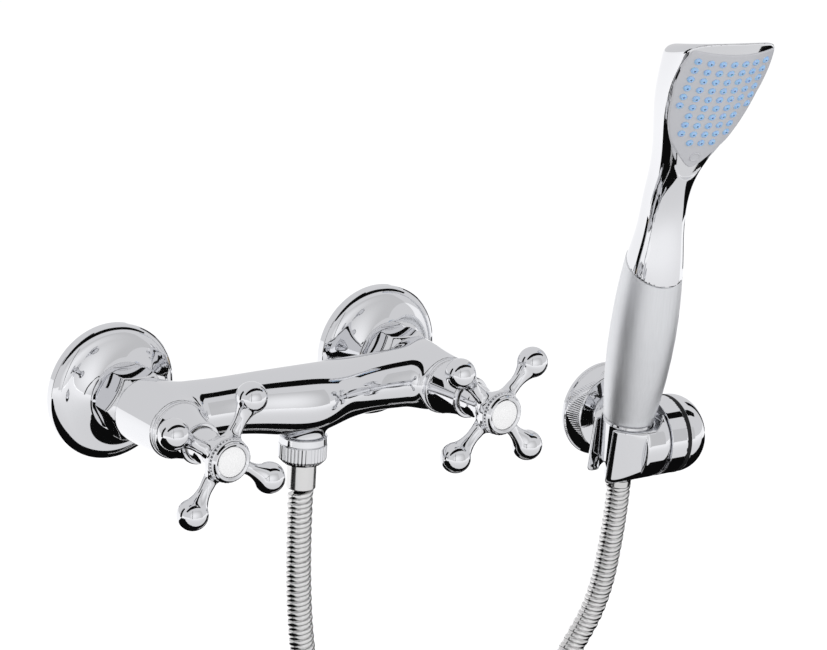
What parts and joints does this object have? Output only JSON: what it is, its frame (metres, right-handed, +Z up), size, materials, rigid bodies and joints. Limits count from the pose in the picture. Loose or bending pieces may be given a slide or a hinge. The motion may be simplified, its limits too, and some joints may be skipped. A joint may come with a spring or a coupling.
{
  "type": "shower mixer set",
  "caption": "Two-handle wall shower mixer with cross handles, metal hose, and hand shower in a swivelling wall bracket.",
  "frame": {"origin": "in the wall's face, midway between the two inlets", "axes": "+X to the right along the wall, +Y into the wall, +Z up"},
  "size_m": [0.3542, 0.1371, 0.4875],
  "materials": {
    "chrome": "polished chrome plating",
    "satin_chrome": "satin chrome plating",
    "brass": "machined",
    "steel": "plain stainless steel",
    "hose_steel": "polished stainless strip",
    "glazed_white": "white glaze",
    "ceramic": "ground ceramic",
    "rubber": "black rubber",
    "fibre": "fibre sealing washer",
    "inner_plastic": "moulded plastic",
    "black_strap": "matte",
    "spray_grey": "light grey, satin",
    "nozzle_blue": "soft translucent blue"
  },
  "bodies": {
    "mixer": {"wall_connector_left": "brass", "rosette_left": "chrome", "union_nut_left": "chrome", "headwork_left": "brass", "bonnet_left": "chrome", "wall_connector_right": "brass", "rosette_right": "chrome", "union_nut_right": "chrome", "headwork_right": "brass", "bonnet_right": "chrome", "inlet_washers": "fibre", "ceramic_seats": "ceramic", "headwork_seals": "rubber", "mixer_body": "chrome", "outlet_nipple": "brass", "check_valve": "inner_plastic", "hose_washer": "rubber", "hose_nut": "chrome", "hose_ferrule": "hose_steel", "hose_mixer_side": "hose_steel", "hose_coil": "hose_steel", "hose_handset_side": "hose_steel", "hose_tie": "black_strap", "wall_plate": "steel", "plate_cover": "chrome", "bracket_arm": "chrome", "grub_screw": "steel", "friction_washer": "inner_plastic", "pivot_screw": "steel", "spring_washer": "steel", "seal_ring": "rubber", "dome_cap": "chrome"},
    "handle_left": {"cross_handle_left": "chrome", "bezel_ring_left": "chrome", "index_button_left": "glazed_white", "handle_screw_left": "steel", "spindle_left": "brass", "ceramic_rotor_left": "ceramic"},
    "handle_right": {"cross_handle_right": "chrome", "bezel_ring_right": "chrome", "index_button_right": "glazed_white", "handle_screw_right": "steel", "spindle_right": "brass", "ceramic_rotor_right": "ceramic"},
    "holder": {"holder_cup": "chrome"},
    "hose_end": {"handset_ferrule": "hose_steel"},
    "handset": {"cone_nut": "chrome", "cone_washer": "rubber", "water_tube": "inner_plastic", "grip_sleeve": "satin_chrome", "handset_head": "chrome", "spray_plate": "spray_grey", "nozzle_mat": "nozzle_blue", "plate_cap": "spray_grey"}
  },
  "joints": [
    {"name": "valve_left", "type": "hinge", "parent": "mixer", "child": "handle_left", "pos_m": [-0.075, -0.09, 0], "axis": [0, -1, 0], "range_deg": [0, 90]},
    {"name": "valve_right", "type": "hinge", "parent": "mixer", "child": "handle_right", "pos_m": [0.075, -0.09, 0], "axis": [0, -1, 0], "range_deg": [0, 90]},
    {"name": "holder_tilt", "type": "hinge", "parent": "mixer", "child": "holder", "pos_m": [0.2, -0.048, -0.0526], "axis": [1, 0, 0], "range_deg": [-7.5, 27.5], "deforming": ["hose_handset_side"]},
    {"name": "handset_lift", "type": "slide", "parent": "holder", "child": "hose_end", "axis": [0, -0.1305, 0.9914], "range_m": [0, 0.03], "deforming": ["hose_handset_side"]},
    {"name": "handset_turn", "type": "hinge", "parent": "hose_end", "child": "handset", "pos_m": [0.2, -0.048, -0.0526], "axis": [0, -0.1305, 0.9914], "continuous": true}
  ]
}
